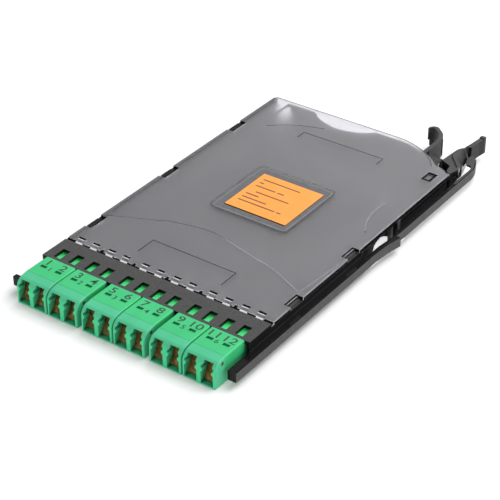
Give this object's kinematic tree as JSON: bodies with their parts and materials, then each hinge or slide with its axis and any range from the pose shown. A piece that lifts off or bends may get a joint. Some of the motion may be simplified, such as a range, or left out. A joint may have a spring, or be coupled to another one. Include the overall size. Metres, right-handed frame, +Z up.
{
  "type": "fibre splice cassette",
  "caption": "flat slide-in cassette with a row of shuttered duplex fibre adapters, clear cover, side rails and a squeeze-release catch, for splicing and patching optical fibres",
  "frame": {"origin": "on the flat underside, on the adapter row's centre line, 83 mm behind the adapters' front face", "axes": "+X to the right along the adapter row seen from the front, +Y from the adapters to the lever at the rear, +Z up out of the cover"},
  "size_m": [0.092, 0.1704, 0.0094],
  "materials": {
    "tray_black": "fine moulded texture, charcoal black",
    "cover_smoke": "clear, smoke grey, smooth",
    "label_orange": "printed film, satin",
    "adapter_green": "moulded, satin gloss",
    "shutter_bronze": "thin spring leaf, brown, dull",
    "holder_white": "moulded",
    "ceramic_white": "polished ceramic",
    "connector_black": "moulded",
    "boot_black": "soft moulded",
    "lead_jacket": "tight-buffered fibre jacket, black",
    "holder_black": "grooved rubber"
  },
  "bodies": {
    "tray": {"base_tray": "tray_black", "adapter_1": "adapter_green", "adapter_2": "adapter_green", "adapter_3": "adapter_green", "adapter_4": "adapter_green", "adapter_5": "adapter_green", "adapter_6": "adapter_green", "sleeve_holders": "holder_white", "alignment_sleeves": "ceramic_white", "connector_ferrules": "ceramic_white", "connector_housings": "connector_black", "connector_boots": "boot_black", "pigtail_leads": "lead_jacket", "pigtail_coil": "lead_jacket", "splice_holder": "holder_black"},
    "shutter_body_1": {"shutter_1": "shutter_bronze"},
    "shutter_body_2": {"shutter_2": "shutter_bronze"},
    "shutter_body_3": {"shutter_3": "shutter_bronze"},
    "shutter_body_4": {"shutter_4": "shutter_bronze"},
    "shutter_body_5": {"shutter_5": "shutter_bronze"},
    "shutter_body_6": {"shutter_6": "shutter_bronze"},
    "shutter_body_7": {"shutter_7": "shutter_bronze"},
    "shutter_body_8": {"shutter_8": "shutter_bronze"},
    "shutter_body_9": {"shutter_9": "shutter_bronze"},
    "shutter_body_10": {"shutter_10": "shutter_bronze"},
    "shutter_body_11": {"shutter_11": "shutter_bronze"},
    "shutter_body_12": {"shutter_12": "shutter_bronze"},
    "lever": {"release_lever": "tray_black"},
    "arm": {"latch_arm": "tray_black"},
    "lid": {"cover": "cover_smoke", "label": "label_orange"}
  },
  "joints": [
    {"name": "shutter_hinge_1", "type": "hinge", "parent": "tray", "child": "shutter_body_1", "pos_m": [-0.037, -0.0791, 0.0075], "axis": [1, 0, 0], "range_deg": [0, 105], "stiffness_Nm_per_rad": 0.0005},
    {"name": "shutter_hinge_2", "type": "hinge", "parent": "tray", "child": "shutter_body_2", "pos_m": [-0.03075, -0.0791, 0.0075], "axis": [1, 0, 0], "range_deg": [0, 105], "stiffness_Nm_per_rad": 0.0005},
    {"name": "shutter_hinge_3", "type": "hinge", "parent": "tray", "child": "shutter_body_3", "pos_m": [-0.02399, -0.0791, 0.0075], "axis": [1, 0, 0], "range_deg": [0, 105], "stiffness_Nm_per_rad": 0.0005},
    {"name": "shutter_hinge_4", "type": "hinge", "parent": "tray", "child": "shutter_body_4", "pos_m": [-0.01775, -0.0791, 0.0075], "axis": [1, 0, 0], "range_deg": [0, 105], "stiffness_Nm_per_rad": 0.0005},
    {"name": "shutter_hinge_5", "type": "hinge", "parent": "tray", "child": "shutter_body_5", "pos_m": [-0.00962, -0.0791, 0.0075], "axis": [1, 0, 0], "range_deg": [0, 105], "stiffness_Nm_per_rad": 0.0005},
    {"name": "shutter_hinge_6", "type": "hinge", "parent": "tray", "child": "shutter_body_6", "pos_m": [-0.00337, -0.0791, 0.0075], "axis": [1, 0, 0], "range_deg": [0, 105], "stiffness_Nm_per_rad": 0.0005},
    {"name": "shutter_hinge_7", "type": "hinge", "parent": "tray", "child": "shutter_body_7", "pos_m": [0.00337, -0.0791, 0.0075], "axis": [1, 0, 0], "range_deg": [0, 105], "stiffness_Nm_per_rad": 0.0005},
    {"name": "shutter_hinge_8", "type": "hinge", "parent": "tray", "child": "shutter_body_8", "pos_m": [0.00962, -0.0791, 0.0075], "axis": [1, 0, 0], "range_deg": [0, 105], "stiffness_Nm_per_rad": 0.0005},
    {"name": "shutter_hinge_9", "type": "hinge", "parent": "tray", "child": "shutter_body_9", "pos_m": [0.01775, -0.0791, 0.0075], "axis": [1, 0, 0], "range_deg": [0, 105], "stiffness_Nm_per_rad": 0.0005},
    {"name": "shutter_hinge_10", "type": "hinge", "parent": "tray", "child": "shutter_body_10", "pos_m": [0.02399, -0.0791, 0.0075], "axis": [1, 0, 0], "range_deg": [0, 105], "stiffness_Nm_per_rad": 0.0005},
    {"name": "shutter_hinge_11", "type": "hinge", "parent": "tray", "child": "shutter_body_11", "pos_m": [0.03075, -0.0791, 0.0075], "axis": [1, 0, 0], "range_deg": [0, 105], "stiffness_Nm_per_rad": 0.0005},
    {"name": "shutter_hinge_12", "type": "hinge", "parent": "tray", "child": "shutter_body_12", "pos_m": [0.037, -0.0791, 0.0075], "axis": [1, 0, 0], "range_deg": [0, 105], "stiffness_Nm_per_rad": 0.0005},
    {"name": "lever_squeeze", "type": "hinge", "parent": "tray", "child": "lever", "pos_m": [0.041, 0.059, 0.0053], "axis": [0, 0, 1], "range_deg": [0, 10], "stiffness_Nm_per_rad": 0.5},
    {"name": "arm_flex", "type": "hinge", "parent": "tray", "child": "arm", "pos_m": [0.04445, -0.003, 0.0041], "axis": [0, 0, 1], "range_deg": [0, 1.9]},
    {"name": "cover_lift", "type": "slide", "parent": "tray", "child": "lid", "axis": [0, 0, 1], "range_m": [0, 0.03]}
  ],
  "couplings": [
    {"joint": "arm_flex", "follows": "lever_squeeze", "ratio": 0.185}
  ]
}
